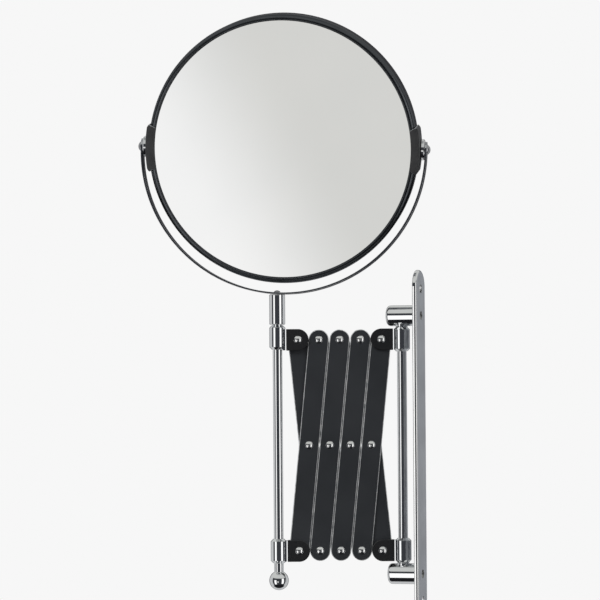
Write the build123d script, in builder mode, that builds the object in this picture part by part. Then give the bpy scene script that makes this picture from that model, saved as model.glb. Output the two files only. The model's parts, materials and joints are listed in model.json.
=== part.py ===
from build123d import *

import os
from math import asin, cos, degrees, radians, sin, sqrt, tan

# Extendable double-sided shaving mirror on a folding scissor arm, in millimetres.
# +Z is up. The wall plate's back lies in the plane Y = 0 and the object stands out along -Y.
# The origin is the middle of the plate's back. The arm is folded, and swung a little sideways.

# ---------------------------------------------------------------- driving dimensions
# Wall plate and its bosses
PLATE_WIDTH = 21.0
PLATE_HEIGHT = 221.0
PLATE_THICKNESS = 3.0
PLATE_ROUND = 0.7             # rounding of the plate's edge in front, and at its back
PLATE_BACK_ROUND = 1.6
WALL_HOLE_SPACING = 197.0
WALL_HOLE_RADIUS = 2.75
WALL_SINK_RADIUS = 4.4
BOSS_RADIUS = 6.55
BOSS_LENGTH = 19.0
BOSS_ROUND = 2.2              # rounding of a boss's free end
BOSS_FOOT_CHAMFER = 0.55      # its edge against the plate
BOSS_HEIGHT = 81.65           # height of each boss's axis above and below the origin
BOSS_SCREW_RADIUS = 2.0
BOSS_SCREW_HEAD_RADIUS = 2.7
BOSS_SCREW_HEAD_HEIGHT = 1.0
BOSS_SCREW_SINK = 0.9         # depth of a screw's head below the plate's back
BOSS_SCREW_SOCKET = 1.3       # radius and depth of the hexagon socket in its head
BOSS_SCREW_SOCKET_DEPTH = 0.7
BOSS_SCREW_DEPTH = 4.6        # how far a screw reaches into its boss

# Rods and what sits on them
ROD_RADIUS = 3.0
ROD_STANDOFF = 9.8            # wall rod's axis to the plate's front face
COLLAR_RADIUS = 3.9
COLLAR_LENGTH = 3.2
COLLAR_ROUND = 0.5
BALL_RADIUS = 6.15
BALL_HEIGHT = -85.4           # height of the ball's centre
FERRULE_RADIUS = 5.0
FERRULE_BOTTOM = 76.55
FERRULE_TOP = 95.65
FERRULE_ROUND = 0.5

# Scissor arm
CELLS = 4
PITCH = 13.2                  # distance between neighbouring pivots in a row, folded
ROW_HEIGHT = 133.6            # distance between the upper and the lower row of pivots, folded
PIVOT_REACH = 13.0            # rod's axis to the nearest pivot
SWING = 17.5                  # degrees that the arm is swung off the plate's normal
BAR_WIDTH = 12.7
BAR_THICKNESS = 1.6
BAR_GAP = 0.3                 # space between the two layers of bars, filled by a thin washer
BAR_CHAMFER = 0.45
PIN_RADIUS = 1.6
RIVET_HEAD_RADIUS = 2.5
RIVET_HEAD_HEIGHT = 1.05

# Sleeves and the clevises on them
WALL_SLEEVE_RADIUS = 5.2
MIRROR_SLEEVE_RADIUS = 5.1
SLEEVE_LENGTH = 15.4
SLEEVE_CONE = 1.6
SLEEVE_LIFT = 1.6             # how far the upper mirror sleeve sits above its pivot, under the ferrule
NECK_HEIGHT = 13.2
NECK_START = 3.3              # rod's axis to the neck's root, buried in the sleeve's wall
NECK_BEVEL_START = 5.0        # rod's axis to where the neck begins to narrow
NECK_WIDE = 5.8
NECK_NARROW = 5.24
CLEVIS_HEIGHT = 13.6
CLEVIS_SHEET = 1.2
CLEVIS_WEB = 0.85             # thickness of the web between the two sheets
CLEVIS_SLOT = 4.0
CLEVIS_START = 5.7            # rod's axis to the outside of the clevis's web
CLEVIS_ROUND = 0.3
SPACER_RADIUS = 4.0
SPACER_SET_BACK = 0.05        # a spacer's face to the plane of the bar's inner face
SPACER_EDGE = 0.15

# Yoke
YOKE_TURN = 6.0               # degrees that the yoke is turned away from the arm's plane
YOKE_OFFSET = 4.9             # sideways distance from the mirror rod to the yoke's centre
YOKE_LEAN = 1.5               # degrees that the yoke leans sideways, within the play of its rivet
YOKE_RADIUS = 90.5            # to the middle of the strip
YOKE_THICKNESS = 1.2
YOKE_WIDTH = 10.0
YOKE_END_ROUND = 4.8
YOKE_RIVET_HEAD_RADIUS = 2.2
YOKE_RIVET_HEAD_HEIGHT = 1.1
YOKE_RIVET_SHOULDER = 0.3     # rivet's head stands this far off the strip's curve
YOKE_RIVET_DEPTH = 3.0

# Mirror head
HEAD_RISE = 1.8               # distance from the centre of the yoke's curve up to the head's pivots
HEAD_TILT = 9.0               # degrees that the head looks down
RIM_RADIUS = 85.5
RIM_DEPTH = 20.0
RIM_SHEET = 0.8
RIM_ROUND = 3.3
VIEW_RADIUS = 81.4            # inner edge of the rim, where the glass shows
GLASS_RADIUS = 82.2
GLASS_THICKNESS = 3.0
MAGNIFIER_CURVE = 1000.0      # radius of the concave glass, for about twofold enlargement
CORE_THICKNESS = 1.0
CLIP_SPAN = 20.2              # degrees of the rim that a clip covers
CLIP_OUTER_RADIUS = 87.2
CLIP_INNER_RADIUS = 81.6
CLIP_FLANGE = 1.1             # thickness of a clip in front of and behind the rim
CLIP_ROUND = 0.6
CUP_RADIUS = 6.6
CUP_THICKNESS = 2.5
CUP_ROUND = 0.6
PIVOT_SCREW_RADIUS = 2.0
PIVOT_HEAD_RADIUS = 3.3
PIVOT_HEAD_HEIGHT = 2.1
PIVOT_SCREW_END = 80.2        # head's axis to the screw's tip
NUT_LENGTH = 3.3
NUT_INSET = 0.4               # how far a screw's tip stands past its nut
NUT_WIDTH = 8.0
NUT_DEPTH = 5.0

# Fits
RUNNING = 0.05                # radial clearance of a pin or rod that turns or slides in a bore
SNUG = 0.02                   # radial clearance inside one rigid body
SIDE_PLAY = 0.03              # axial clearance beside a part that turns
BEYOND = 1.0                  # how far a cut runs on past the surface that it opens

# ---------------------------------------------------------------- places worked out from them
BAR_REACH = sqrt(ROW_HEIGHT**2 + PITCH**2)      # pivot to pivot along a bar
BAR_LEAN = degrees(asin(PITCH / BAR_REACH))     # lean of a bar from upright, folded
LAYER_INNER = BAR_GAP / 2
LAYER_OUTER = LAYER_INNER + BAR_THICKNESS
ROD_Y = -(PLATE_THICKNESS + ROD_STANDOFF)
MIRROR_ROD_X = -(2 * PIVOT_REACH + CELLS * PITCH)
YOKE_INNER = YOKE_RADIUS - YOKE_THICKNESS / 2
YOKE_OUTER = YOKE_RADIUS + YOKE_THICKNESS / 2
YOKE_ARC_HEIGHT = FERRULE_TOP + YOKE_OUTER


def heading(angle):
    """Unit vector in the ground plane, its angle counted from +X."""
    return Vector(cos(radians(angle)), sin(radians(angle)), 0)


# ARM holds the scissor: x runs back to the wall rod, y up, z across the bars to their front.
ARM = Plane(origin=(0, ROD_Y, 0), x_dir=heading(SWING + 90), z_dir=heading(SWING))
# YOKE stands on the mirror rod's axis, turned about it. FORK is centred in the yoke's curve and
# leans with it. HEAD is the mirror's own plane.
YOKE = Plane(
    origin=ARM.from_local_coords(Vector(MIRROR_ROD_X, 0, 0)),
    x_dir=heading(SWING - YOKE_TURN + 90),
    z_dir=heading(SWING - YOKE_TURN),
)
FORK = Plane(
    origin=YOKE.from_local_coords(Vector(YOKE_OFFSET, YOKE_ARC_HEIGHT, 0)),
    x_dir=YOKE.x_dir * cos(radians(YOKE_LEAN)) - YOKE.y_dir * sin(radians(YOKE_LEAN)),
    z_dir=YOKE.z_dir,
)
HEAD = Plane(
    origin=FORK.from_local_coords(Vector(0, HEAD_RISE, 0)),
    x_dir=FORK.x_dir,
    z_dir=FORK.z_dir * cos(radians(HEAD_TILT)) - FORK.y_dir * sin(radians(HEAD_TILT)),
)
# HEAD_SECTION cuts the head through its axis: x is the radius, y the depth towards the viewer.
HEAD_SECTION = Plane(origin=HEAD.origin, x_dir=HEAD.x_dir, z_dir=-HEAD.y_dir)
HEAD_AXIS = Axis(HEAD.origin, HEAD.z_dir)


def pivot_at(index, row):
    """Place of a scissor pivot in ARM: index counts from the wall, row is +1 above, -1 below."""
    return Vector(-(PIVOT_REACH + index * PITCH), row * ROW_HEIGHT / 2, 0)


def save(builder, label):
    builder.part.label = label
    export_step(builder.part, f"parts/{label}.step")


def section_on(plane, spot):
    """Plane through a local spot, with x across the pin's axis and y along it."""
    origin = plane.from_local_coords(spot)
    return Plane(origin=origin, x_dir=plane.x_dir, z_dir=-plane.y_dir)


def domed_pin(label, plane, spot, radius, low, high, head_radius, head_height, both_ends=True):
    """A round pin along the plane's z axis from low to high, with domed heads beyond its ends."""
    section = section_on(plane, spot)
    dome = -(head_radius**2 + head_height**2) / (2 * head_height)
    with BuildPart() as pin:
        with BuildSketch(section):
            with BuildLine():
                if both_ends:
                    under = low - SIDE_PLAY
                    foot = RadiusArc((0, under - head_height), (head_radius, under), dome)
                    Line((head_radius, under), (radius, under))
                else:
                    under = low
                    foot = Line((0, under), (radius, under))
                Polyline((radius, under), (radius, high), (head_radius, high))
                RadiusArc((head_radius, high), (0, high + head_height), dome)
                Line((0, high + head_height), foot @ 0)
            make_face()
        revolve(axis=Axis(section.origin, plane.z_dir))
    save(pin, label)


def ring(label, plane, spot, inner, outer, low, high, edge):
    """A flat ring along the plane's z axis, its outer edges eased."""
    base = Plane(origin=plane.from_local_coords(spot), x_dir=plane.x_dir, z_dir=plane.z_dir)
    with BuildPart() as washer:
        with BuildSketch(base.offset(low)):
            Circle(outer)
            Circle(inner, mode=Mode.SUBTRACT)
        extrude(amount=high - low)
        chamfer(washer.edges().filter_by(GeomType.CIRCLE).sort_by(SortBy.RADIUS)[-2:], edge)
    save(washer, label)


# ---------------------------------------------------------------- wall plate, bosses and rod
def make_wall_plate():
    with BuildPart() as plate:
        with BuildSketch(Plane.XZ):
            SlotOverall(PLATE_HEIGHT, PLATE_WIDTH, rotation=90)
        extrude(amount=PLATE_THICKNESS)
        fillet(plate.faces().sort_by(Axis.Y)[0].edges(), PLATE_ROUND)
        fillet(plate.faces().sort_by(Axis.Y)[-1].edges(), PLATE_BACK_ROUND)
        front = Plane.XZ.offset(PLATE_THICKNESS)
        with Locations(*[front * Location((0, side * WALL_HOLE_SPACING / 2, 0)) for side in (1, -1)]):
            CounterSinkHole(WALL_HOLE_RADIUS, WALL_SINK_RADIUS, counter_sink_angle=90)
        with Locations(*[Plane.ZX * Location((side * BOSS_HEIGHT, 0, 0)) for side in (1, -1)]):
            CounterBoreHole(BOSS_SCREW_RADIUS + SNUG, BOSS_SCREW_HEAD_RADIUS + SNUG,
                            BOSS_SCREW_SINK + BOSS_SCREW_HEAD_HEIGHT)
    save(plate, "wall_plate")


def make_boss(side, label):
    """Horizontal cylinder that carries one end of the wall rod."""
    with BuildPart() as boss:
        with BuildSketch(Plane.XZ.offset(PLATE_THICKNESS)):
            with Locations((0, side * BOSS_HEIGHT)):
                Circle(BOSS_RADIUS)
        extrude(amount=BOSS_LENGTH)
        fillet(boss.faces().sort_by(Axis.Y)[0].edges(), BOSS_ROUND)
        chamfer(boss.faces().sort_by(Axis.Y)[-1].edges(), BOSS_FOOT_CHAMFER)
        with BuildSketch(Plane.XY.offset(side * BOSS_HEIGHT)):
            with Locations((0, ROD_Y)):
                Circle(ROD_RADIUS + SNUG)
        extrude(amount=-side * (BOSS_RADIUS + BEYOND), mode=Mode.SUBTRACT)
        with BuildSketch(Plane.XZ.offset(PLATE_THICKNESS)):
            with Locations((0, side * BOSS_HEIGHT)):
                Circle(BOSS_SCREW_RADIUS + SNUG)
        extrude(amount=BOSS_SCREW_DEPTH + SIDE_PLAY, mode=Mode.SUBTRACT)
    save(boss, label)


def make_boss_screw(side, label):
    """Screw that holds a boss from the plate's back, its head sunk and with a hexagon socket."""
    centre = side * BOSS_HEIGHT
    under_head = -BOSS_SCREW_SINK - BOSS_SCREW_HEAD_HEIGHT
    tip = -PLATE_THICKNESS - BOSS_SCREW_DEPTH
    with BuildPart() as screw:
        with BuildSketch(Plane.YZ):
            with BuildLine():
                Polyline(
                    (-BOSS_SCREW_SINK, centre),
                    (-BOSS_SCREW_SINK, centre + BOSS_SCREW_HEAD_RADIUS),
                    (under_head, centre + BOSS_SCREW_HEAD_RADIUS),
                    (under_head, centre + BOSS_SCREW_RADIUS),
                    (tip, centre + BOSS_SCREW_RADIUS),
                    (tip, centre),
                    close=True,
                )
            make_face()
        revolve(axis=Axis((0, 0, centre), (0, 1, 0)))
        with BuildSketch(Plane.XZ.offset(BOSS_SCREW_SINK)):
            with Locations((0, centre)):
                RegularPolygon(BOSS_SCREW_SOCKET, 6)
        extrude(amount=BOSS_SCREW_SOCKET_DEPTH, mode=Mode.SUBTRACT)
    save(screw, label)


def make_wall_rod():
    with BuildPart() as rod:
        with BuildSketch(Plane.XY.offset(-BOSS_HEIGHT)):
            with Locations((0, ROD_Y)):
                Circle(ROD_RADIUS)
        extrude(amount=2 * BOSS_HEIGHT)
    save(rod, "wall_rod")


def make_collar(side, label):
    """Bead on the wall rod that fills the space between a boss and its sleeve."""
    start = side * (ROW_HEIGHT / 2 + SLEEVE_LENGTH / 2 + RUNNING)
    with BuildPart() as collar:
        with BuildSketch(Plane.XY.offset(start)):
            with Locations((0, ROD_Y)):
                Circle(COLLAR_RADIUS)
                Circle(ROD_RADIUS + SNUG, mode=Mode.SUBTRACT)
        extrude(amount=side * COLLAR_LENGTH)
        outer = collar.edges().filter_by(GeomType.CIRCLE).sort_by(SortBy.RADIUS)[-2:]
        fillet(outer.sort_by(Axis.Z)[0 if side > 0 else -1], COLLAR_ROUND)
        with BuildSketch(Plane.XZ.offset(PLATE_THICKNESS)):
            with Locations((0, side * BOSS_HEIGHT)):
                Circle(BOSS_RADIUS + SNUG)
        extrude(amount=BOSS_LENGTH, mode=Mode.SUBTRACT)
    save(collar, label)


# ---------------------------------------------------------------- sleeves, clevises, end pins
def make_sleeve(label, axis_x, toward, row, radius, lift):
    """Turning sleeve on a rod, with coned ends and a tapering neck for its clevis."""
    spot = Vector(axis_x, row * ROW_HEIGHT / 2 + lift, 0)
    section = Plane(origin=ARM.from_local_coords(spot), x_dir=ARM.x_dir, z_dir=ARM.z_dir)
    half = SLEEVE_LENGTH / 2
    neck_foot = ARM.from_local_coords(Vector(axis_x, row * ROW_HEIGHT / 2 - NECK_HEIGHT / 2, 0))
    with BuildPart() as sleeve:
        with BuildSketch(section):
            with BuildLine():
                Polyline(
                    (0, -half),
                    (radius - SLEEVE_CONE, -half),
                    (radius, -half + SLEEVE_CONE),
                    (radius, half - SLEEVE_CONE),
                    (radius - SLEEVE_CONE, half),
                    (0, half),
                    close=True,
                )
            make_face()
        revolve(axis=Axis(section.origin, (0, 0, 1)))
        with BuildSketch(Plane(origin=neck_foot, x_dir=ARM.x_dir, z_dir=(0, 0, 1))):
            Polygon(
                (toward * NECK_START, -NECK_WIDE / 2),
                (toward * NECK_BEVEL_START, -NECK_WIDE / 2),
                (toward * CLEVIS_START, -NECK_NARROW / 2),
                (toward * CLEVIS_START, NECK_NARROW / 2),
                (toward * NECK_BEVEL_START, NECK_WIDE / 2),
                (toward * NECK_START, NECK_WIDE / 2),
                align=None,
            )
        extrude(amount=NECK_HEIGHT)
        with BuildSketch(Plane(origin=section.origin, z_dir=(0, 0, 1)).offset(-half)):
            Circle(ROD_RADIUS + RUNNING)
        extrude(amount=SLEEVE_LENGTH, mode=Mode.SUBTRACT)
    save(sleeve, label)


def make_clevis(label, axis_x, toward, row):
    """Bent sheet fork on a sleeve's neck that holds the end of one bar."""
    spot = Vector(axis_x, row * ROW_HEIGHT / 2, 0)
    front = Plane(origin=ARM.from_local_coords(spot), x_dir=ARM.x_dir, z_dir=ARM.z_dir)
    straight = PIVOT_REACH - CLEVIS_START
    outside = CLEVIS_SLOT / 2 + CLEVIS_SHEET
    slot_start = CLEVIS_START + CLEVIS_WEB
    with BuildPart() as clevis:
        with BuildSketch(front.offset(-outside)):
            with Locations((toward * (CLEVIS_START + straight / 2), 0)):
                Rectangle(straight, CLEVIS_HEIGHT)
            with Locations((toward * PIVOT_REACH, 0)):
                Circle(CLEVIS_HEIGHT / 2)
        extrude(amount=2 * outside)
        faces = clevis.faces().sort_by(Axis(front.origin, ARM.z_dir))
        chamfer(faces[0].edges() + faces[-1].edges(), CLEVIS_ROUND)
        with BuildSketch(front.offset(-CLEVIS_SLOT / 2)):
            with Locations((toward * (slot_start + CLEVIS_HEIGHT), 0)):
                Rectangle(2 * CLEVIS_HEIGHT, 2 * CLEVIS_HEIGHT)
        extrude(amount=CLEVIS_SLOT, mode=Mode.SUBTRACT)
        with BuildSketch(front.offset(-outside)):
            with Locations((toward * PIVOT_REACH, 0)):
                Circle(PIN_RADIUS + SNUG)
        extrude(amount=2 * outside, mode=Mode.SUBTRACT)
    save(clevis, label)


def make_end_joint(name, axis_x, toward, row, radius, index, bar_layer, lift=0.0):
    """Sleeve, clevis, pin and spacer at one end pivot. bar_layer is +1 where a front bar ends."""
    make_sleeve(f"sleeve_{name}", axis_x, toward, row, radius, lift)
    make_clevis(f"clevis_{name}", axis_x, toward, row)
    outside = CLEVIS_SLOT / 2 + CLEVIS_SHEET
    spot = pivot_at(index, row)
    domed_pin(f"end_pin_{name}", ARM, spot, PIN_RADIUS, -outside, outside,
              RIVET_HEAD_RADIUS, RIVET_HEAD_HEIGHT)
    ends = sorted((-bar_layer * (CLEVIS_SLOT / 2 - SIDE_PLAY), bar_layer * (LAYER_INNER - SPACER_SET_BACK)))
    ring(f"spacer_{name}", ARM, spot, PIN_RADIUS + SNUG, SPACER_RADIUS, *ends, SPACER_EDGE)


# ---------------------------------------------------------------- bars and their rivets
def make_bar(label, first, last, low, pin_clearance):
    """Flat bar between two pivots, with rounded ends and a hole at each end and in the middle."""
    middle = (first + last) * 0.5
    run = last - first
    lean = degrees(asin(abs(run.X) / BAR_REACH)) * (1 if run.X * run.Y < 0 else -1)
    base = Plane(origin=ARM.from_local_coords(middle), x_dir=ARM.x_dir, z_dir=ARM.z_dir)
    with BuildPart() as bar:
        with BuildSketch(base.offset(low)):
            SlotCenterToCenter(BAR_REACH, BAR_WIDTH, rotation=90 + lean)
        extrude(amount=BAR_THICKNESS)
        faces = bar.faces().filter_by(Plane(base.origin, z_dir=ARM.z_dir))
        chamfer(faces.edges(), BAR_CHAMFER)
        with BuildSketch(base.offset(low)):
            for spot, clearance in zip((first, middle, last), pin_clearance):
                with Locations((spot.X - middle.X, spot.Y - middle.Y)):
                    Circle(PIN_RADIUS + clearance)
        extrude(amount=BAR_THICKNESS, mode=Mode.SUBTRACT)
    save(bar, label)


def make_scissor():
    for cell in range(1, CELLS + 1):
        top_hole = SNUG if cell > 1 else RUNNING          # the end pins belong to the clevises
        bottom_hole = SNUG if cell < CELLS else RUNNING
        make_bar(f"bar_front_{cell}", pivot_at(cell, -1), pivot_at(cell - 1, 1),
                 LAYER_INNER, (bottom_hole, SNUG, top_hole))
        make_bar(f"bar_back_{cell}", pivot_at(cell, 1), pivot_at(cell - 1, -1),
                 -LAYER_OUTER, (RUNNING, RUNNING, RUNNING))
        middle = (pivot_at(cell, 1) + pivot_at(cell - 1, -1)) * 0.5
        make_rivet(f"rivet_middle_{cell}", middle)
    for index in range(1, CELLS):
        make_rivet(f"rivet_upper_{index}", pivot_at(index, 1))
        make_rivet(f"rivet_lower_{index}", pivot_at(index, -1))


def make_rivet(label, spot):
    domed_pin(label, ARM, spot, PIN_RADIUS, -LAYER_OUTER, LAYER_OUTER,
              RIVET_HEAD_RADIUS, RIVET_HEAD_HEIGHT)


# ---------------------------------------------------------------- mirror rod and yoke
def make_mirror_rod():
    with BuildPart() as rod:
        with BuildSketch(Plane(YOKE.origin, z_dir=(0, 0, 1)).offset(BALL_HEIGHT)):
            Circle(ROD_RADIUS)
        extrude(amount=FERRULE_TOP - YOKE_RIVET_DEPTH - BALL_HEIGHT)
    save(rod, "mirror_rod")


def make_ball():
    section = Plane(YOKE.from_local_coords(Vector(0, BALL_HEIGHT, 0)), x_dir=YOKE.x_dir,
                    z_dir=YOKE.z_dir)
    with BuildPart() as ball:
        with BuildSketch(section):
            with BuildLine():
                Line((0, -BALL_RADIUS), (0, BALL_RADIUS))
                ThreePointArc((0, BALL_RADIUS), (BALL_RADIUS, 0), (0, -BALL_RADIUS))
            make_face()
        revolve(axis=Axis(section.origin, (0, 0, 1)))
        with BuildSketch(Plane(section.origin, z_dir=(0, 0, 1))):
            Circle(ROD_RADIUS + SNUG)
        extrude(amount=BALL_RADIUS, mode=Mode.SUBTRACT)
    save(ball, "ball_finial")


def make_ferrule():
    """Wide tube on the mirror rod's upper end, closed at the top under the yoke."""
    with BuildPart() as ferrule:
        with BuildSketch(Plane(YOKE.origin, z_dir=(0, 0, 1)).offset(FERRULE_BOTTOM)):
            Circle(FERRULE_RADIUS)
        extrude(amount=FERRULE_TOP - FERRULE_BOTTOM)
        fillet(ferrule.edges().filter_by(GeomType.CIRCLE), FERRULE_ROUND)
        with BuildSketch(Plane(YOKE.origin, z_dir=(0, 0, 1)).offset(FERRULE_BOTTOM)):
            Circle(ROD_RADIUS + SNUG)
        extrude(amount=FERRULE_TOP - YOKE_RIVET_DEPTH - FERRULE_BOTTOM, mode=Mode.SUBTRACT)
        with BuildSketch(Plane(YOKE.origin, z_dir=(0, 0, 1)).offset(FERRULE_TOP)):
            Circle(PIN_RADIUS + SNUG)
        extrude(amount=-YOKE_RIVET_DEPTH, mode=Mode.SUBTRACT)
    save(ferrule, "ferrule")


def make_yoke():
    """Flat strip bent to a half ring, with a straight rounded end beyond each pivot."""
    rise = HEAD_RISE + YOKE_WIDTH / 2
    with BuildPart() as yoke:
        with BuildSketch(FORK.offset(-YOKE_WIDTH / 2)):
            Circle(YOKE_OUTER)
            Circle(YOKE_INNER, mode=Mode.SUBTRACT)
            with Locations((0, YOKE_OUTER)):
                Rectangle(4 * YOKE_OUTER, 2 * YOKE_OUTER, mode=Mode.SUBTRACT)
            with Locations((-YOKE_RADIUS, rise / 2), (YOKE_RADIUS, rise / 2)):
                Rectangle(YOKE_THICKNESS, rise)
        extrude(amount=YOKE_WIDTH)
        corners = yoke.edges().filter_by(Axis(FORK.origin, FORK.x_dir))
        fillet(corners.group_by(Axis(FORK.origin, FORK.y_dir))[-1], YOKE_END_ROUND)
        across = Plane(HEAD.origin, x_dir=FORK.z_dir, z_dir=FORK.x_dir)
        with BuildSketch(across.offset(-YOKE_OUTER - BEYOND)):
            Circle(PIVOT_SCREW_RADIUS + RUNNING)
        extrude(amount=2 * (YOKE_OUTER + BEYOND), mode=Mode.SUBTRACT)
        with BuildSketch(Plane(YOKE.origin, z_dir=(0, 0, 1)).offset(FERRULE_TOP - BEYOND)):
            Circle(PIN_RADIUS + SNUG)
        extrude(amount=YOKE_THICKNESS + 2 * BEYOND, mode=Mode.SUBTRACT)
    save(yoke, "yoke")


def make_yoke_rivet():
    """Rivet that holds the yoke's foot on the ferrule."""
    upright = Plane(YOKE.origin, x_dir=YOKE.x_dir, z_dir=(0, 0, 1))
    domed_pin("yoke_rivet", upright, Vector(0, 0, 0), PIN_RADIUS,
              FERRULE_TOP - YOKE_RIVET_DEPTH + SIDE_PLAY, FERRULE_TOP + YOKE_THICKNESS + YOKE_RIVET_SHOULDER,
              YOKE_RIVET_HEAD_RADIUS, YOKE_RIVET_HEAD_HEIGHT, both_ends=False)


# ---------------------------------------------------------------- mirror head
def outline_of_rim(inset):
    """Closed outline of the rim's band, set in from its outside, with rounded shoulders."""
    radius = RIM_RADIUS - inset
    half = RIM_DEPTH / 2 - inset
    bend = RIM_ROUND - inset
    middle = bend * (1 - sqrt(0.5))
    lower = Line((VIEW_RADIUS, -half), (radius - bend, -half))
    ThreePointArc(lower @ 1, (radius - middle, -half + middle), (radius, -half + bend))
    wall = Line((radius, -half + bend), (radius, half - bend))
    ThreePointArc(wall @ 1, (radius - middle, half - middle), (radius - bend, half))
    Line((radius - bend, half), (VIEW_RADIUS, half))


def make_rim():
    """Pressed channel around both glasses, its two lips turned in over their edges."""
    with BuildPart() as rim:
        with BuildSketch(HEAD_SECTION):
            with BuildLine():
                outline_of_rim(0)
                Line((VIEW_RADIUS, RIM_DEPTH / 2), (VIEW_RADIUS, -RIM_DEPTH / 2))
            make_face()
            with BuildLine():
                outline_of_rim(RIM_SHEET)
                half = RIM_DEPTH / 2 - RIM_SHEET
                Line((VIEW_RADIUS, half), (VIEW_RADIUS, -half))
            make_face(mode=Mode.SUBTRACT)
        revolve(axis=HEAD_AXIS)
        across = Plane(HEAD.origin, x_dir=HEAD.z_dir, z_dir=HEAD.x_dir)
        with BuildSketch(across.offset(-RIM_RADIUS - BEYOND)):
            Circle(PIVOT_SCREW_RADIUS + SNUG)
        extrude(amount=2 * (RIM_RADIUS + BEYOND), mode=Mode.SUBTRACT)
    save(rim, "rim")


def make_plain_glass():
    face = RIM_DEPTH / 2 - RIM_SHEET - SNUG
    with BuildPart() as glass:
        with BuildSketch(HEAD.offset(face - GLASS_THICKNESS)):
            Circle(GLASS_RADIUS)
        extrude(amount=GLASS_THICKNESS)
    save(glass, "glass_plain")


def make_magnifying_glass():
    """Glass of even thickness, hollow towards the back of the head."""
    radius = GLASS_RADIUS
    face = -(RIM_DEPTH / 2 - RIM_SHEET - SNUG)
    hollow = MAGNIFIER_CURVE - sqrt(MAGNIFIER_CURVE**2 - radius**2)
    with BuildPart() as glass:
        with BuildSketch(HEAD_SECTION):
            with BuildLine():
                Line((0, face + hollow), (0, face + hollow + GLASS_THICKNESS))
                RadiusArc((0, face + hollow + GLASS_THICKNESS), (radius, face + GLASS_THICKNESS),
                          MAGNIFIER_CURVE)
                Line((radius, face + GLASS_THICKNESS), (radius, face))
                RadiusArc((0, face + hollow), (radius, face), MAGNIFIER_CURVE)
            make_face()
        revolve(axis=HEAD_AXIS)
    save(glass, "glass_magnifying")


def make_core():
    """Thin board that backs the plain glass."""
    face = RIM_DEPTH / 2 - RIM_SHEET - GLASS_THICKNESS - 2 * SNUG
    with BuildPart() as core:
        with BuildSketch(HEAD.offset(face - CORE_THICKNESS)):
            Circle(GLASS_RADIUS)
        extrude(amount=CORE_THICKNESS)
    save(core, "core_board")


def make_clip(side, label):
    """Moulded block that wraps over the rim at one pivot and follows its curve."""
    half_depth = RIM_DEPTH / 2 + CLIP_FLANGE
    reach = 2 * CLIP_OUTER_RADIUS
    spread = reach * tan(radians(CLIP_SPAN / 2))
    with BuildPart() as clip:
        with BuildSketch(HEAD.offset(-half_depth)):
            Circle(CLIP_OUTER_RADIUS)
            Circle(CLIP_INNER_RADIUS, mode=Mode.SUBTRACT)
            Polygon((0, 0), (side * reach, -side * spread), (side * reach, side * spread),
                    align=None, mode=Mode.INTERSECT)
        extrude(amount=2 * half_depth)
        outer = clip.faces().sort_by(Axis(HEAD.origin, HEAD.x_dir))[-1 if side > 0 else 0]
        chamfer(outer.edges(), CLIP_ROUND)
        with BuildSketch(HEAD_SECTION):
            with BuildLine():
                outline_of_rim(-SNUG)
                half = RIM_DEPTH / 2 + SNUG
                Line((VIEW_RADIUS, half), (VIEW_RADIUS, -half))
            make_face()
        revolve(axis=HEAD_AXIS, mode=Mode.SUBTRACT)
        across = Plane(HEAD.origin, x_dir=HEAD.z_dir, z_dir=HEAD.x_dir)
        with BuildSketch(across):
            Circle(PIVOT_SCREW_RADIUS + SNUG)
        extrude(amount=side * (CLIP_OUTER_RADIUS + BEYOND), mode=Mode.SUBTRACT)
    save(clip, label)


def make_pivot_parts(side, name):
    """Clip, cup washer, screw and hidden nut block at one of the head's two pivots."""
    make_clip(side, f"clip_{name}")
    outward = Plane(HEAD.origin, x_dir=HEAD.z_dir, z_dir=HEAD.x_dir * side)
    centre = Vector(0, 0, 0)
    ring(f"cup_{name}", outward, centre, PIVOT_SCREW_RADIUS + SNUG, CUP_RADIUS,
         CLIP_OUTER_RADIUS + SNUG, CLIP_OUTER_RADIUS + CUP_THICKNESS, CUP_ROUND)
    domed_pin(f"pivot_screw_{name}", outward, centre, PIVOT_SCREW_RADIUS,
              PIVOT_SCREW_END, YOKE_OUTER + SIDE_PLAY,
              PIVOT_HEAD_RADIUS, PIVOT_HEAD_HEIGHT, both_ends=False)
    with BuildPart() as nut:
        with BuildSketch(outward.offset(PIVOT_SCREW_END + NUT_INSET)):
            Rectangle(NUT_DEPTH, NUT_WIDTH)
            Circle(PIVOT_SCREW_RADIUS + SNUG, mode=Mode.SUBTRACT)
        extrude(amount=NUT_LENGTH)
    save(nut, f"nut_block_{name}")


os.makedirs("parts", exist_ok=True)
make_wall_plate()
make_wall_rod()
for side, name in ((1, "upper"), (-1, "lower")):
    make_boss(side, f"boss_{name}")
    make_boss_screw(side, f"boss_screw_{name}")
    make_collar(side, f"collar_{name}")
    # A front bar ends at the upper wall sleeve and at the lower mirror sleeve.
    make_end_joint(f"wall_{name}", 0, -1, side, WALL_SLEEVE_RADIUS, 0, side)
    make_end_joint(f"mirror_{name}", MIRROR_ROD_X, 1, side, MIRROR_SLEEVE_RADIUS, CELLS, -side,
                   lift=SLEEVE_LIFT if side > 0 else 0.0)
make_scissor()
make_mirror_rod()
make_ball()
make_ferrule()
make_yoke()
make_yoke_rivet()
make_rim()
make_plain_glass()
make_magnifying_glass()
make_core()
make_pivot_parts(-1, "left")
make_pivot_parts(1, "right")
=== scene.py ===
import json
import math

import bmesh
import bpy
from mathutils import Matrix, Vector


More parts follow.
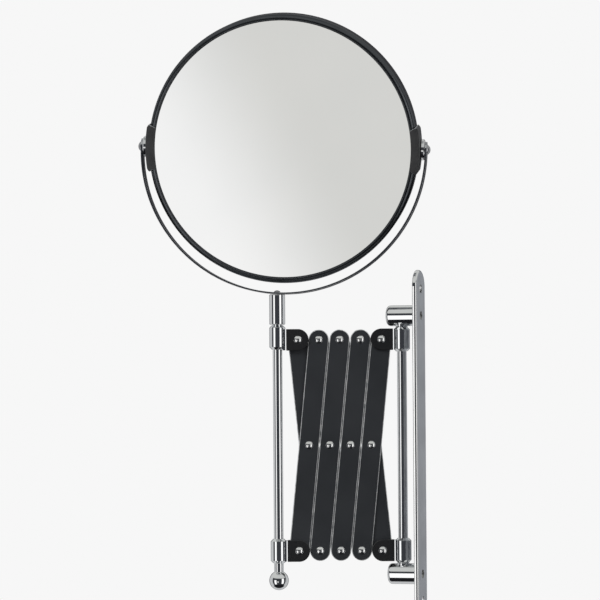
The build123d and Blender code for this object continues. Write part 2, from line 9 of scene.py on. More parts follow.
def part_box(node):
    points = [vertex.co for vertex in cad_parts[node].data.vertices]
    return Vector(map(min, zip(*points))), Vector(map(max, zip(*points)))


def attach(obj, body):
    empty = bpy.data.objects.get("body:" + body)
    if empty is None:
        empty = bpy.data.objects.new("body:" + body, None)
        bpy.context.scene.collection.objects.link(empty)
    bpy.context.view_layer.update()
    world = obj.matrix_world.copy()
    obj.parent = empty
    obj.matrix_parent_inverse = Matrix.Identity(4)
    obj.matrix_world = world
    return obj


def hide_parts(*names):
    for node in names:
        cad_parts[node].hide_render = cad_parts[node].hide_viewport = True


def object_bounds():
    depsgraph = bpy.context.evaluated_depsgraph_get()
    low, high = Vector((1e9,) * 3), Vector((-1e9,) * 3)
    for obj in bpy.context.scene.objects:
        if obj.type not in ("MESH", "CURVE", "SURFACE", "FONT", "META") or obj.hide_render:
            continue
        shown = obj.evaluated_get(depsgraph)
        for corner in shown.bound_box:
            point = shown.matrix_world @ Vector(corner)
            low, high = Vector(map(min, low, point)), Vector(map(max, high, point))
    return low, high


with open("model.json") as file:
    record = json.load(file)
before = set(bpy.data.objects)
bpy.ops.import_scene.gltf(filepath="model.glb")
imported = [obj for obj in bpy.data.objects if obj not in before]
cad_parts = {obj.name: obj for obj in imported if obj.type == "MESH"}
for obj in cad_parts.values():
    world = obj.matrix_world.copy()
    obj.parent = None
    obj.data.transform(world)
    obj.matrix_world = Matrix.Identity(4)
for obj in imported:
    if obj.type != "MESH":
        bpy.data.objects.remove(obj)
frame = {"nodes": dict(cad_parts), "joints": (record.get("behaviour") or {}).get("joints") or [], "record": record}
cad_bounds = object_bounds()

# ---------------------------------------------------------------- directions taken from the frame
JOINTS = {joint["name"]: joint for joint in frame["joints"]}
UP = Vector((0, 0, 1))
WALL_NORMAL = Vector((0, 1, 0))
ARM_FRONT = Vector(JOINTS["extend"]["axis"]).normalized()      # across the bars, towards the viewer
ARM_RIGHT = UP.cross(ARM_FRONT).normalized()                   # along the arm, back to the wall
TILT_AXIS = Vector(JOINTS["mirror_tilt"]["axis"]).normalized()
HEAD_CENTRE = Vector(JOINTS["mirror_tilt"]["pos_m"])
HEAD_TILT = math.radians(9)                                    # how far the head looks down
YOKE_FRONT = TILT_AXIS.cross(UP).normalized()
YOKE_UP = YOKE_FRONT.cross(TILT_AXIS)
HEAD_FRONT = Matrix.Rotation(HEAD_TILT, 3, TILT_AXIS) @ YOKE_FRONT
MM = 0.001

# ---------------------------------------------------------------- sizes, in millimetres
RIM_RADIUS = 85.5
RIM_HALF_DEPTH = 10.0
RIM_SHEET = 0.8
RIM_ROUND = 3.3
VIEW_RADIUS = 81.4           # the glass that the rim's lips leave in view
GLASS_RADIUS = 82.2
GLASS_THICKNESS = 3.0
GLASS_BEVEL = 0.3
GLASS_CLEARANCE = 0.02
MAGNIFIER_CURVE = 1000.0     # radius of the magnifying glass's hollow face
YOKE_RADIUS = 90.5
YOKE_THICKNESS = 1.2
YOKE_WIDTH = 10.0
YOKE_EDGE_ROUND = 0.15
YOKE_TIP_SQUARE = 0.05       # square of half the width that is left at the strip's very end
HEAD_RISE = 1.8              # the head's pivots stand this far above the centre of the yoke's curve
CLIP_SPAN = 20.2             # degrees of the rim that a clip covers
CLIP_INNER_RADIUS = 81.6
CLIP_OUTER_RADIUS = 87.2
CLIP_HALF_DEPTH = 11.1
CLIP_ROUND = 0.6
CLIP_SLANT = 1.1             # degrees by which a clip's inner side is shorter at each end
CLIP_CORNER_RUN = 2.4        # length and depth of the cut at a clip's outer corners
CLIP_CORNER_CUT = 1.0
CLIP_CORNER_BEND = 1.6       # power of the cut's curve: 1 would be a straight bevel
CLIP_CUT_SHARE = 0.9         # share of the run that is cut; the rest is the end's eased edge
PIN_RADIUS = 1.6
WASHER_RADIUS = 4.2
WASHER_THICKNESS = 0.24
WASHER_CLEARANCE = 0.03

# Steps that the turned and bent pieces are divided into
RIM_STEPS = 320
GLASS_STEPS = 256
MAGNIFIER_RINGS = 14
YOKE_ARC_STEPS = 220
YOKE_TIP_STEPS = 16
CLIP_STEPS = 12              # from a clip's middle to where its corner cut begins
CLIP_END_STEPS = 4           # along the corner cut, and again round the end's edge
WASHER_STEPS = 40

# Degrees between two faces above which the edge between them stays sharp
CAD_SHARP_ANGLE = 28
PIECE_SHARP_ANGLE = 32
GLASS_SHARP_ANGLE = 20


# ---------------------------------------------------------------- shader helpers
class Shader:
    """A material with one Principled shader and short calls for the nodes around it."""

    def __init__(self, name, **values):
        self.material = bpy.data.materials.new(name)
        self.material.use_nodes = True
        self.tree = self.material.node_tree
        self.surface = self.tree.nodes["Principled BSDF"]
        self.place = self.node("ShaderNodeTexCoord").outputs["Object"]
        for key, value in values.items():
            self.surface.inputs[key.replace("_", " ")].default_value = value

    def node(self, kind, **settings):
        made = self.tree.nodes.new(kind)
        for key, value in settings.items():
            setattr(made, key, value)
        return made

    def link(self, source, target):
        self.tree.links.new(source, target)

    def stretched(self, scale, rotation=(0, 0, 0)):
        mapping = self.node("ShaderNodeMapping")
        mapping.inputs["Rotation"].default_value = rotation
        mapping.inputs["Scale"].default_value = scale
        self.link(self.place, mapping.inputs["Vector"])
        return mapping.outputs["Vector"]

    def noise(self, scale, detail, vector=None, roughness=0.5):
        made = self.node("ShaderNodeTexNoise")
        made.inputs["Scale"].default_value = scale
        made.inputs["Detail"].default_value = detail
        made.inputs["Roughness"].default_value = roughness
        self.link(vector or self.place, made.inputs["Vector"])
        return made.outputs["Fac"]

    def remap(self, source, low, high):
        """Spreads a noise, whose values mostly lie from 0.3 to 0.7, over low to high."""
        made = self.node("ShaderNodeMapRange")
        for key, value in (("From Min", 0.3), ("From Max", 0.7), ("To Min", low), ("To Max", high)):
            made.inputs[key].default_value = value
        self.link(source, made.inputs["Value"])
        return made.outputs["Result"]

    def blend_colour(self, source, first, second):
        made = self.node("ShaderNodeMix", data_type="RGBA")
        made.inputs["A"].default_value = (*first, 1)
        made.inputs["B"].default_value = (*second, 1)
        self.link(source, made.inputs["Factor"])
        self.link(made.outputs["Result"], self.surface.inputs["Base Color"])

    def vary_roughness(self, source, low, high):
        self.link(self.remap(source, low, high), self.surface.inputs["Roughness"])

    def bump(self, source, strength, distance):
        made = self.node("ShaderNodeBump")
        made.inputs["Strength"].default_value = strength
        made.inputs["Distance"].default_value = distance
        self.link(source, made.inputs["Height"])
        self.link(made.outputs["Normal"], self.surface.inputs["Normal"])


def chrome(name, dark, bright, roughness=(0.03, 0.075), edge=1.0):
    """Plated steel: faint cloudiness, hairline polishing marks, roughness that varies a little.
    edge is the tint of its glancing reflections."""
    shader = Shader(name, Metallic=1.0, Specular_Tint=(edge, edge, edge, 1))
    clouds = shader.noise(scale=60, detail=4)
    marks = shader.noise(scale=900, detail=2, vector=shader.stretched((1, 1, 0.04)))
    shader.blend_colour(shader.remap(clouds, 0, 1), dark, bright)
    shader.vary_roughness(marks, *roughness)
    shader.bump(marks, strength=0.03, distance=0.00002)
    return shader.material


def brushed_steel(name, dark, bright):
    """Dull brushed steel with its grain running up the part."""
    shader = Shader(name, Metallic=1.0)
    grain = shader.noise(scale=2600, detail=5, vector=shader.stretched((1, 1, 0.012)), roughness=0.65)
    blotches = shader.noise(scale=38, detail=3)
    mixed = shader.node("ShaderNodeMath", operation="MULTIPLY_ADD")
    shader.link(grain, mixed.inputs[0])
    mixed.inputs[1].default_value = 0.7
    shader.link(shader.remap(blotches, 0, 0.3), mixed.inputs[2])
    shader.blend_colour(shader.remap(mixed.outputs[0], 0, 1), dark, bright)
    shader.vary_roughness(grain, 0.34, 0.52)
    shader.bump(grain, strength=0.16, distance=0.00004)
    return shader.material


def dark_polish(name, dark, bright):
    """Gunmetal polish, with faint upright lines."""
    shader = Shader(name, Metallic=1.0)
    lines = shader.noise(scale=1500, detail=4, vector=shader.stretched((1, 1, 0.02)), roughness=0.6)
    clouds = shader.noise(scale=45, detail=3)
    shader.blend_colour(shader.remap(clouds, 0, 1), dark, bright)
    shader.vary_roughness(lines, 0.06, 0.13)
    shader.bump(lines, strength=0.05, distance=0.00003)
    return shader.material


def moulded(name, dark, bright, roughness=(0.42, 0.58), depth=0.00003):
    """Moulded plastic with a fine eroded grain and slightly uneven gloss."""
    shader = Shader(name, Metallic=0.0)
    pits = shader.noise(scale=2200, detail=4, roughness=0.6)
    patches = shader.noise(scale=120, detail=3)
    shader.blend_colour(shader.remap(patches, 0, 1), dark, bright)
    shader.vary_roughness(patches, *roughness)
    shader.bump(pits, strength=0.35, distance=depth)
    return shader.material


def dark_coat_painted_reflection(name, dark, bright):
    """Near-black satin coat on sheet steel, with a faint orange-peel skin. Its dark tone is a painted reflection,
    standing in for the dark room that polished steel mirrors.
    """
    shader = Shader(name, Metallic=0.0, Coat_Weight=0.6, Coat_Roughness=0.12)
    peel = shader.noise(scale=700, detail=2)
    patches = shader.noise(scale=30, detail=2)
    shader.blend_colour(shader.remap(patches, 0, 1), dark, bright)
    shader.vary_roughness(patches, 0.28, 0.33)
    shader.bump(peel, strength=0.12, distance=0.00003)
    return shader.material


def pale_edge_painted_highlight(name, dark, bright):
    """Sheared edge of sheet steel, which scatters light instead of mirroring its neighbour. Its pale, uneven tone
    is a painted highlight for the glint along the bars' bevels.
    """
    shader = Shader(name, Metallic=0.25)
    nicks_and_painted_glints = shader.noise(scale=260, detail=4, roughness=0.7)
    shader.blend_colour(shader.remap(nicks_and_painted_glints, 0, 1), dark, bright)
    shader.vary_roughness(nicks_and_painted_glints, 0.30, 0.42)
    shader.bump(nicks_and_painted_glints, strength=0.2, distance=0.00002)
    return shader.material


def silvered_glass(name, dark, bright):
    """Front of the mirror: silver seen through clear glass, with barely visible dust haze."""
    shader = Shader(name, Metallic=1.0, Coat_Weight=0.4, Coat_Roughness=0.02)
    haze = shader.noise(scale=14, detail=3)
    shader.blend_colour(shader.remap(haze, 0, 1), dark, bright)
    shader.vary_roughness(haze, 0.015, 0.03)
    return shader.material


def fibre_board(name, dark, bright):
    """Plain board with short fibres."""
    shader = Shader(name, Roughness=0.85)
    fibres = shader.noise(scale=900, detail=5, vector=shader.stretched((1, 0.2, 1), (0, 0, 0.4)))
    shader.blend_colour(shader.remap(fibres, 0, 1), dark, bright)
    shader.bump(fibres, strength=0.4, distance=0.0001)
    return shader.material


# ---------------------------------------------------------------- materials, by slot of the record
MATERIALS = {
    "plate_steel": brushed_steel("plate_steel", (0.46, 0.475, 0.50), (0.65, 0.67, 0.70)),
    "fitting_chrome": chrome("fitting_chrome", (0.84, 0.85, 0.85), (0.90, 0.90, 0.90)),
    "rod_chrome": chrome("rod_chrome", (0.85, 0.86, 0.86), (0.91, 0.91, 0.91)),
    "sleeve_chrome": chrome("sleeve_chrome", (0.82, 0.83, 0.84), (0.89, 0.90, 0.90)),
    "cup_chrome": chrome("cup_chrome", (0.70, 0.71, 0.72), (0.80, 0.80, 0.80)),
    "yoke_chrome": chrome("yoke_chrome", (0.50, 0.51, 0.53), (0.58, 0.59, 0.60), edge=0.5),
    # The rim's near-black base colour is a painted reflection: it stands in for the dark room mirrored in its
    # chrome.
    "rim_chrome": chrome("rim_chrome", (0.075, 0.080, 0.086), (0.100, 0.106, 0.114), (0.22, 0.30), 0.65),
    "rivet_chrome": chrome("rivet_chrome", (0.80, 0.80, 0.79), (0.90, 0.90, 0.89), (0.13, 0.20)),
    "dark_steel": dark_polish("dark_steel", (0.30, 0.30, 0.31), (0.42, 0.42, 0.43)),
    "screw_steel": brushed_steel("screw_steel", (0.30, 0.30, 0.29), (0.48, 0.48, 0.46)),
    # Lugs and bars: their near-black tone is a painted reflection of the dark room in polished steel.
    "clevis_black": dark_coat_painted_reflection("clevis_black", (0.010, 0.010, 0.011), (0.016, 0.016, 0.017)),
    "bar_black": dark_coat_painted_reflection("bar_black", (0.024, 0.026, 0.029), (0.034, 0.036, 0.040)),
    "spacer_nylon": moulded("spacer_nylon", (0.02, 0.02, 0.02), (0.03, 0.03, 0.03)),
    "clip_plastic": moulded("clip_plastic", (0.030, 0.030, 0.031), (0.045, 0.045, 0.046)),
    "mirror_glass": silvered_glass("mirror_glass", (0.90, 0.905, 0.905), (0.93, 0.93, 0.925)),
    "core_card": fibre_board("core_card", (0.30, 0.25, 0.19), (0.44, 0.38, 0.30)),
}
GLASS_EDGE = moulded("glass_edge", (0.20, 0.24, 0.23), (0.26, 0.30, 0.29), (0.1, 0.2), 0.00001)
# Pale edge metal for the bars: its light tone is a painted highlight for the glint along their bevels.
BAR_EDGE_PAINTED_HIGHLIGHT = pale_edge_painted_highlight("bare_edge", (0.28, 0.29, 0.30), (0.80, 0.80, 0.80))
# Pale grey for the clips' end faces: a painted highlight where light catches their eased ends.
CLIP_END_PAINTED_HIGHLIGHT = moulded("clip_end_painted_highlight", (0.30, 0.31, 0.32), (0.40, 0.41, 0.42), (0.2, 0.3))
PLATE_EDGE = chrome("plate_edge", (0.84, 0.84, 0.84), (0.92, 0.92, 0.91), (0.06, 0.12))


def dress_cad_nodes():
    for part in frame["record"]["subparts"]:
        piece = frame["nodes"][part["node"]]
        piece.data.materials.clear()
        piece.data.materials.append(MATERIALS[part["material_slot"]])
        piece.data.shade_smooth()
        piece.data.set_sharp_from_angle(angle=math.radians(CAD_SHARP_ANGLE))


def give_edges_own_material(piece, normal, material):
    """Gives the faces of a flat CAD node that lean off its normal their own metal."""
    flat_enough = 0.9
    piece.data.materials.append(material)
    for face in piece.data.polygons:
        face.material_index = 1 if abs(face.normal.dot(normal)) < flat_enough else 0


dress_cad_nodes()
# The bars' edge faces take the pale material: a painted highlight along their bevels.
for name, piece in frame["nodes"].items():
    if name.startswith("bar_"):
        give_edges_own_material(piece, ARM_FRONT, BAR_EDGE_PAINTED_HIGHLIGHT)
give_edges_own_material(frame["nodes"]["wall_plate"], WALL_NORMAL, PLATE_EDGE)


# ---------------------------------------------------------------- mesh helpers
def arc(radius, height, bend, start, end, steps):
    """Points round a bend in a profile, its angles in degrees."""
    angles = [math.radians(start + (end - start) * step / steps) for step in range(steps + 1)]
    return [(radius + bend * math.cos(angle), height + bend * math.sin(angle)) for angle in angles]


def rounded_section(inner, outer, half, bend, steps):
    """Closed rounded rectangle from radius inner to outer, and half to each side."""
    return (
        arc(inner + bend, half - bend, bend, 180, 90, steps)
        + arc(outer - bend, half - bend, bend, 90, 0, steps)
        + arc(outer - bend, bend - half, bend, 0, -90, steps)
        + arc(inner + bend, bend - half, bend, 270, 180, steps)
    )


def add_piece(name, vertices, faces, materials, body, replaced=(), sharp=PIECE_SHARP_ANGLE):
    data = bpy.data.meshes.new(name)
    data.from_pydata(vertices, [], faces)
    mesh = bmesh.new()
    mesh.from_mesh(data)
    bmesh.ops.recalc_face_normals(mesh, faces=mesh.faces)
    mesh.to_mesh(data)
    mesh.free()
    for material in materials:
        data.materials.append(material)
    data.shade_smooth()
    data.set_sharp_from_angle(angle=math.radians(sharp))
    piece = bpy.data.objects.new(name, data)
    bpy.context.scene.collection.objects.link(piece)
    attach(piece, body)
    if replaced:
        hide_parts(*replaced)
    return piece


def skin(loops, ring):
    """Vertices and faces over loops of the same number of points. The skin closes on itself if
    it is a ring, and is capped at both ends if it isn't."""
    size = len(loops[0])
    vertices = [point for loop in loops for point in loop]
    spans = len(loops) if ring else len(loops) - 1
    faces = []
    for span in range(spans):
        here, there = span * size, (span + 1) % len(loops) * size
        for step in range(size):
            after = (step + 1) % size
            faces.append((here + step, here + after, there + after, there + step))
    if not ring:
        faces.append(tuple(range(size)))
        faces.append(tuple(range(len(vertices) - size, len(vertices))))
    return vertices, faces


def turned(profile, centre, axis, side, steps):
    """Loops of a profile of (radius, height) in millimetres, turned all the way round an axis."""
    across = axis.cross(side)
    loops = []
    for step in range(steps):
        angle = math.tau * step / steps
        out = side * math.cos(angle) + across * math.sin(angle)
        loops.append([centre + (out * radius + axis * height) * MM for radius, height in profile])
    return loops


# ---------------------------------------------------------------- mirror head
def add_rim():
    """Pressed band with rolled lips that hold both glasses."""
    lip = RIM_SHEET / 2
    lip_height = RIM_HALF_DEPTH - lip
    shoulder = RIM_RADIUS - RIM_ROUND
    flat = RIM_HALF_DEPTH - RIM_ROUND
    inner_bend = RIM_ROUND - RIM_SHEET
    profile = (
        arc(VIEW_RADIUS + lip, lip_height, lip, 270, 90, 8)
        + arc(shoulder, flat, RIM_ROUND, 90, 0, 16)
        + arc(shoulder, -flat, RIM_ROUND, 0, -90, 16)
        + arc(VIEW_RADIUS + lip, -lip_height, lip, 270, 90, 8)
        + arc(shoulder, -flat, inner_bend, -90, 0, 6)
        + arc(shoulder, flat, inner_bend, 0, 90, 6)
    )
    vertices, faces = skin(turned(profile, HEAD_CENTRE, HEAD_FRONT, TILT_AXIS, RIM_STEPS), ring=True)
    add_piece("rim_band", vertices, faces, [MATERIALS["rim_chrome"]], "mirror_head", ["rim"])


def add_glass(name, node, side, curve):
    """Round glass with a ground edge. side is +1 in front and -1 behind; curve hollows its face."""
    face = RIM_HALF_DEPTH - RIM_SHEET - GLASS_CLEARANCE
    rings = MAGNIFIER_RINGS if curve else 1

    def hollow(radius):
        if not curve:
            return 0.0
        return math.sqrt(curve**2 - radius**2) - math.sqrt(curve**2 - GLASS_RADIUS**2)

    flat = GLASS_RADIUS - GLASS_BEVEL
    radii = [flat * ring / rings for ring in range(1, rings + 1)]
    profile = [(radius, side * (face - hollow(radius))) for radius in radii]
    profile.append((GLASS_RADIUS, side * (face - GLASS_BEVEL)))
    profile.append((GLASS_RADIUS, side * (face - GLASS_THICKNESS)))
    profile += [(radius, side * (face - GLASS_THICKNESS - hollow(radius))) for radius in reversed(radii)]
    loops = turned(profile, HEAD_CENTRE, HEAD_FRONT, TILT_AXIS, GLASS_STEPS)
    size = len(profile)
    vertices = [point for loop in loops for point in loop]
    faces = []
    for step in range(GLASS_STEPS):
        here, there = step * size, (step + 1) % GLASS_STEPS * size
        faces += [(here + k, here + k + 1, there + k + 1, there + k) for k in range(size - 1)]
    for ring, depth in ((0, face - hollow(0)), (size - 1, face - GLASS_THICKNESS - hollow(0))):
        hub = len(vertices)
        vertices.append(HEAD_CENTRE + HEAD_FRONT * side * depth * MM)
        for step in range(GLASS_STEPS):
            faces.append((hub, step * size + ring, (step + 1) % GLASS_STEPS * size + ring))
    piece = add_piece(name, vertices, faces, [MATERIALS["mirror_glass"], GLASS_EDGE], "mirror_head",
                      [node], GLASS_SHARP_ANGLE)
    edge_lean = 0.6
    for polygon in piece.data.polygons:
        if abs(polygon.normal.dot(HEAD_FRONT)) < edge_lean:
            polygon.material_index = 1


def clip_stations():
    """Cross-sections from a clip's middle to its end: the share of its half span, how deep the
    corner is cut there, and how far the section is drawn in to ease the end's edge."""
    cut_start = 1 - CLIP_CORNER_RUN / (CLIP_OUTER_RADIUS * math.radians(CLIP_SPAN / 2))
    cut_run = 1 - cut_start
    stations = [(cut_start * step / CLIP_STEPS, 0.0, 0.0) for step in range(CLIP_STEPS + 1)]
    for step in range(1, CLIP_END_STEPS + 1):
        part = step / CLIP_END_STEPS
        stations.append((cut_start + cut_run * CLIP_CUT_SHARE * part,
                         CLIP_CORNER_CUT * part**CLIP_CORNER_BEND, 0.0))
    for step in range(1, CLIP_END_STEPS + 1):
        turn = math.pi / 2 * step / CLIP_END_STEPS
        eased = (1 - CLIP_CUT_SHARE) * math.sin(turn)
        stations.append((cut_start + cut_run * (CLIP_CUT_SHARE + eased),
                         CLIP_CORNER_CUT, CLIP_ROUND * (1 - math.cos(turn))))
    return stations


def add_clips():
    """Moulded clips over the rim at its pivots. Their ends slant, with the outer corners cut off."""
    low, high = CLIP_INNER_RADIUS, CLIP_OUTER_RADIUS
    wall = high - low
    profile = rounded_section(low, high, CLIP_HALF_DEPTH, CLIP_ROUND, 5)
    half_route = clip_stations()
    route = [(-share, cut, ease) for share, cut, ease in reversed(half_route)] + half_route[1:]
    for name, side in (("left", -1), ("right", 1)):
        out = TILT_AXIS * side
        along = HEAD_FRONT.cross(out)
        loops = []
        for share, cut, ease in route:
            middle = (low + high - cut) / 2
            loop = []
            for radius, height in profile:
                span = CLIP_SPAN / 2 - CLIP_SLANT * (high - radius) / wall
                angle = math.radians(share * span)
                spoke = out * math.cos(angle) + along * math.sin(angle)
                drawn_in = middle + (min(radius, high - cut) - middle) * (1 - 2 * ease / wall)
                depth = height * (1 - ease / CLIP_HALF_DEPTH)
                loop.append(HEAD_CENTRE + (spoke * drawn_in + HEAD_FRONT * depth) * MM)
            loops.append(loop)
        vertices, faces = skin(loops, ring=False)
        piece = add_piece(f"clip_shell_{name}", vertices, faces, [MATERIALS["clip_plastic"], CLIP_END_PAINTED_HIGHLIGHT],
                          "mirror_head", [f"clip_{name}"])
        end_faces = len(profile) * CLIP_END_STEPS
        side_faces = len(profile) * (len(loops) - 1)
        # The end faces take the pale grey material: a painted highlight.
        for polygon in piece.data.polygons:
            if polygon.index < end_faces or side_faces - end_faces <= polygon.index < side_faces:
                polygon.material_index = 1


# ---------------------------------------------------------------- yoke
def add_yoke():
    """Spring-steel strip bent to a half ring, its edges eased and its ends rounded."""
    centre = HEAD_CENTRE - YOKE_UP * HEAD_RISE * MM
    half_width = YOKE_WIDTH / 2
    half_sheet = YOKE_THICKNESS / 2
    tip = []                         # the rounded end above a pivot: (height over it, half width)
    for step in range(YOKE_TIP_STEPS + 1):
        lift = half_width * math.sin(math.pi / 2 * step / YOKE_TIP_STEPS)
        tip.append((lift, math.sqrt(max(half_width**2 - lift**2, YOKE_TIP_SQUARE))))
    route = []                       # (place in the yoke's plane, outward direction, half width)
    for lift, half in reversed(tip):
        route.append((-YOKE_RADIUS, HEAD_RISE + lift, math.pi, half))
    for step in range(YOKE_ARC_STEPS + 1):
        turn = math.pi + math.pi * step / YOKE_ARC_STEPS
        route.append((YOKE_RADIUS * math.cos(turn), YOKE_RADIUS * math.sin(turn), turn, half_width))
    for lift, half in tip:
        route.append((YOKE_RADIUS, HEAD_RISE + lift, math.tau, half))
    loops = []
    for x, y, turn, half in route:
        out = TILT_AXIS * math.cos(turn) + YOKE_UP * math.sin(turn)
        section = rounded_section(-half_sheet, half_sheet, half, min(YOKE_EDGE_ROUND, half / 2), 4)
        place = centre + (TILT_AXIS * x + YOKE_UP * y) * MM
        loops.append([place + (out * radial + YOKE_FRONT * depth) * MM for radial, depth in section])
    vertices, faces = skin(loops, ring=False)
    add_piece("yoke_strip", vertices, faces, [MATERIALS["yoke_chrome"]], "mirror_post",
              ["yoke"])


# ---------------------------------------------------------------- washers between the bars
def add_layer_washers():
    """Thin nylon washers on the rivets, in the gap between the two layers of bars."""
    half = WASHER_THICKNESS / 2
    hole = PIN_RADIUS + WASHER_CLEARANCE
    profile = [(hole, -half), (WASHER_RADIUS, -half), (WASHER_RADIUS, half), (hole, half)]
    bodies = frame["record"]["behaviour"]["bodies"]
    body_of = {node: body for body, nodes in bodies.items() for node in nodes}
    for part in frame["record"]["subparts"]:
        node = part["node"]
        if not node.startswith("rivet_"):
            continue
        low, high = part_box(node)
        centre = (Vector(low) + Vector(high)) / 2
        vertices, faces = skin(turned(profile, centre, ARM_FRONT, ARM_RIGHT, WASHER_STEPS), ring=True)
        add_piece(f"washer_{node}", vertices, faces, [MATERIALS["spacer_nylon"]], body_of[node])


add_rim()
add_glass("glass_front", "glass_plain", 1, 0.0)
add_glass("glass_back", "glass_magnifying", -1, MAGNIFIER_CURVE)
add_clips()
add_yoke()
add_layer_washers()


# ---------------------------------------------------------------- studio
VIEW_DISTANCE = 2.2
AIM_BACK = 0.0643            # the aim lies this far from the wall rod, towards the mirror
AIM_HEIGHT = 0.09205
CAMERA_DROP = 0.045          # the camera stands a little below its aim
CAMERA_ROLL = math.radians(0.4)
VIEW_WIDTH = 0.3804          # metres across the view at the aim
SENSOR_WIDTH = 36
NEAR_CLIP = 0.05
FAR_CLIP = 50
BACKGROUND = (0.930, 0.930, 0.930)
FLOOR_HALF_SIZE = 40.0
FLOOR_GAP = 0.002            # the floor lies this far below the object

# Tones of the room that the object mirrors
DARK_FRONT = (0.042, 0.045, 0.052)
PALE_SIDES = (0.56, 0.57, 0.58)
UPPER_WALLS = (0.60, 0.61, 0.60)
CEILING = (0.34, 0.35, 0.35)
DARK_GROUND = (0.012, 0.012, 0.014)
DARK_BEHIND = (0.11, 0.11, 0.12)
SOFTBOX = (1.2, 1.2, 1.2)
CARD_WHITE = (0.97, 0.97, 0.97)
CARD_GREY = (0.70, 0.70, 0.68)


def add_camera():
    wall_rod = Vector(JOINTS["wall_swivel"]["pos_m"])
    aim = wall_rod - ARM_RIGHT * AIM_BACK
    aim.z = AIM_HEIGHT
    place = aim + ARM_FRONT * VIEW_DISTANCE - UP * CAMERA_DROP
    data = bpy.data.cameras.new("camera")
    data.sensor_width = SENSOR_WIDTH
    data.lens = SENSOR_WIDTH * VIEW_DISTANCE / VIEW_WIDTH
    data.clip_start = NEAR_CLIP
    data.clip_end = FAR_CLIP
    camera = bpy.data.objects.new("camera", data)
    facing = (aim - place).to_track_quat("-Z", "Y").to_matrix().to_4x4()
    camera.matrix_world = Matrix.Translation(place) @ facing @ Matrix.Rotation(-CAMERA_ROLL, 4, "Z")
    bpy.context.scene.collection.objects.link(camera)
    bpy.context.scene.camera = camera


def add_world():
    """Soft studio around the object. Angles are in degrees: azimuth 0 is straight out from the
    arm's front, positive to the right; elevation is above the horizon. The room lights the object
    and is mirrored in it, and the camera itself sees one plain tone."""
    world = bpy.data.worlds.new("studio")
    bpy.context.scene.world = world
    world.use_nodes = True
    tree = world.node_tree
    tree.nodes.clear()

    def node(kind, **settings):
        made = tree.nodes.new(kind)
        for key, value in settings.items():
            setattr(made, key, value)
        return made

    def math_node(operation, first, second=None):
        made = node("ShaderNodeMath", operation=operation)
        for socket, value in zip(made.inputs, (first, second)):
            if value is None:
                continue
            if isinstance(value, (int, float)):
                socket.default_value = value
            else:
                tree.links.new(value, socket)
        return made.outputs[0]

    def times(first, second):
        return math_node("MULTIPLY", first, second)

    direction = node("ShaderNodeTexCoord").outputs["Generated"]

    def along(vector):
        made = node("ShaderNodeVectorMath", operation="DOT_PRODUCT")
        tree.links.new(direction, made.inputs[0])
        made.inputs[1].default_value = vector
        return made.outputs["Value"]

    degrees_per_radian = 180 / math.pi
    outward = along(ARM_FRONT)
    azimuth = times(math_node("ARCTAN2", along(ARM_RIGHT), outward), degrees_per_radian)
    elevation = times(math_node("ARCSINE", along(UP)), degrees_per_radian)
    turned_away = math_node("ABSOLUTE", azimuth)

    def ramp(source, low, high, value_low=0.0, value_high=1.0):
        made = node("ShaderNodeMapRange", interpolation_type="SMOOTHSTEP")
        for key, value in zip(("From Min", "From Max", "To Min", "To Max"),
                              (low, high, value_low, value_high)):
            made.inputs[key].default_value = value
        tree.links.new(source, made.inputs["Value"])
        return made.outputs["Result"]

    def window(source, low, high, soft):
        return times(ramp(source, low - soft, low + soft), ramp(source, high - soft, high + soft, 1.0, 0.0))

    def patch(azimuths, elevations, soft):
        return times(window(azimuth, *azimuths, soft), window(elevation, *elevations, soft))

    def layer(below, mask, colour):
        made = node("ShaderNodeMix", data_type="RGBA")
        tree.links.new(mask, made.inputs["Factor"])
        for socket, value in ((made.inputs["A"], below), (made.inputs["B"], colour)):
            if isinstance(value, tuple):
                socket.default_value = (*value, 1)
            else:
                tree.links.new(value, socket)
        return made.outputs["Result"]

    sides = ramp(turned_away, 80, 86)
    upper = ramp(elevation, 21, 28)
    overhead = ramp(elevation, 62, 76)
    ground_in_front = times(ramp(elevation, -50, -42, 1.0, 0.0), ramp(outward, -0.25, -0.17))
    behind = times(ramp(turned_away, 140, 150), window(elevation, -25, 25, 4))
    left_softbox = patch((-57, -31), (-42, 5), 2.0)
    right_softbox = patch((34, 61), (-36, 21), 2.0)
    # The card in front of the glass is white at its lower left and grey from its middle on.
    card_slope = math_node("ADD", azimuth, times(elevation, 0.5))
    card_tone = layer(CARD_WHITE, ramp(card_slope, -22.2, -19.3), CARD_GREY)
    card = patch((-19, -5), (-24, -7), 1.5)

    room = layer(DARK_FRONT, sides, PALE_SIDES)
    for mask, tone in (
        (upper, UPPER_WALLS), (overhead, CEILING), (ground_in_front, DARK_GROUND), (behind, DARK_BEHIND),
        (left_softbox, SOFTBOX), (right_softbox, SOFTBOX), (card, card_tone),
    ):
        room = layer(room, mask, tone)

    path = node("ShaderNodeLightPath")
    seen = node("ShaderNodeBackground")
    seen.inputs["Color"].default_value = (*BACKGROUND, 1)
    lit = node("ShaderNodeBackground")
    tree.links.new(room, lit.inputs["Color"])
    chosen = node("ShaderNodeMixShader")
    tree.links.new(path.outputs["Is Camera Ray"], chosen.inputs["Fac"])
    tree.links.new(lit.outputs[0], chosen.inputs[1])
    tree.links.new(seen.outputs[0], chosen.inputs[2])
    tree.links.new(chosen.outputs[0], node("ShaderNodeOutputWorld").inputs["Surface"])


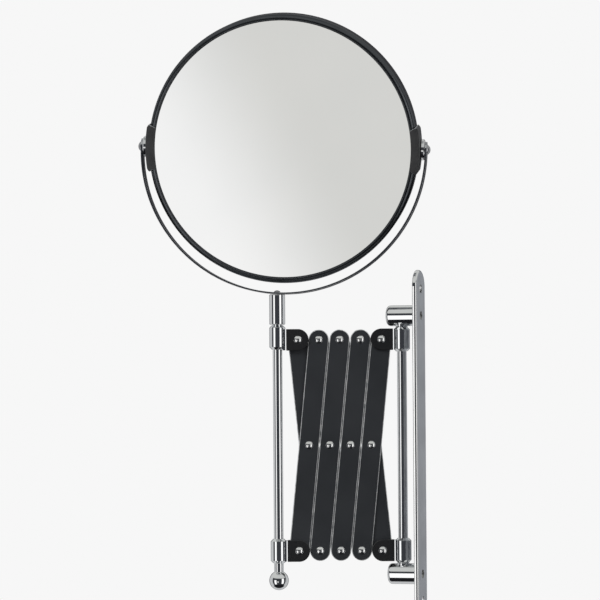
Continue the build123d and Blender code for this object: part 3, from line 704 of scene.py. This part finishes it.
def add_floor():
    """Plain pale floor under the object, with no edge to be seen against the room. It is clear
    from below, so that it never hides the object."""
    level = cad_bounds[0].z - FLOOR_GAP
    data = bpy.data.meshes.new("floor")
    quarters = ((-1, -1), (1, -1), (1, 1), (-1, 1))
    corners = [(x * FLOOR_HALF_SIZE, y * FLOOR_HALF_SIZE, level) for x, y in quarters]
    data.from_pydata(corners, [], [(0, 1, 2, 3)])
    floor = bpy.data.objects.new("floor", data)
    bpy.context.scene.collection.objects.link(floor)
    material = bpy.data.materials.new("floor_pale")
    material.use_nodes = True
    tree = material.node_tree
    tree.nodes.clear()
    glow = tree.nodes.new("ShaderNodeEmission")
    glow.inputs["Color"].default_value = (*BACKGROUND, 1)
    clear = tree.nodes.new("ShaderNodeBsdfTransparent")
    side = tree.nodes.new("ShaderNodeNewGeometry")
    mix = tree.nodes.new("ShaderNodeMixShader")
    out = tree.nodes.new("ShaderNodeOutputMaterial")
    tree.links.new(side.outputs["Backfacing"], mix.inputs["Fac"])
    tree.links.new(glow.outputs[0], mix.inputs[1])
    tree.links.new(clear.outputs[0], mix.inputs[2])
    tree.links.new(mix.outputs[0], out.inputs["Surface"])
    data.materials.append(material)
    floor.visible_glossy = False
    floor.visible_diffuse = False
    floor.visible_shadow = False


def add_light(name, azimuth, elevation, distance, size, power):
    """Soft square light that shapes the dull parts; it isn't mirrored in the plated ones."""
    data = bpy.data.lights.new(name, "AREA")
    data.size = size
    data.energy = power
    light = bpy.data.objects.new(name, data)
    turn = math.radians(azimuth)
    rise = math.radians(elevation)
    out = (ARM_FRONT * math.cos(turn) + ARM_RIGHT * math.sin(turn)) * math.cos(rise) + UP * math.sin(rise)
    centre = (cad_bounds[0] + cad_bounds[1]) / 2
    place = centre + out * distance
    light.matrix_world = Matrix.Translation(place) @ out.to_track_quat("Z", "Y").to_matrix().to_4x4()
    light.visible_glossy = False
    bpy.context.scene.collection.objects.link(light)


bpy.context.scene.view_settings.view_transform = "Standard"
add_camera()
add_world()
add_floor()
add_light("key", azimuth=-40, elevation=40, distance=1.6, size=1.0, power=14)
add_light("fill", azimuth=50, elevation=20, distance=1.8, size=1.2, power=7)
add_light("back", azimuth=170, elevation=40, distance=1.8, size=1.2, power=8)
